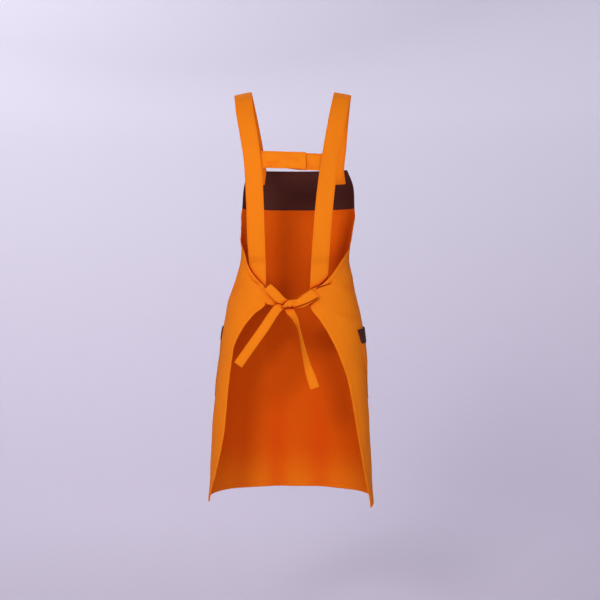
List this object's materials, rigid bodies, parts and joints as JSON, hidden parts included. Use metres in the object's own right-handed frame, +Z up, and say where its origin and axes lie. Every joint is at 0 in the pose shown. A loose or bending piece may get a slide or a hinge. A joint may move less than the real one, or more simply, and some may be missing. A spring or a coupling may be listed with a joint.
{
  "type": "kitchen apron",
  "caption": "Bib apron in its worn form, with an H-shaped strap back, patch pockets with dark bands, and waist ties in a bow.",
  "frame": {"origin": "midway between the two shoulder straps, where they rest on the shoulders", "axes": "+Z up along the wearer, the wearer faces -Y, +X towards the wearer's left"},
  "size_m": [0.3837, 0.2632, 0.9559],
  "materials": {
    "orange_cloth": "matte cotton-blend twill",
    "brown_cloth": "matte cotton-blend twill"
  },
  "bodies": {
    "root": {"apron_panel": "orange_cloth", "bib_band": "brown_cloth", "pocket_left": "orange_cloth", "pocket_right": "orange_cloth", "pocket_band_left": "brown_cloth", "pocket_band_right": "brown_cloth", "strap_left": "orange_cloth", "strap_right": "orange_cloth", "back_tab_left": "orange_cloth", "back_tab_right": "orange_cloth", "tie_lead_left": "orange_cloth", "tie_lead_right": "orange_cloth", "bow_knot": "orange_cloth", "bow_loop_left": "orange_cloth", "bow_loop_right": "orange_cloth", "tie_tail_left": "orange_cloth", "tie_tail_right": "orange_cloth"}
  },
  "joints": []
}
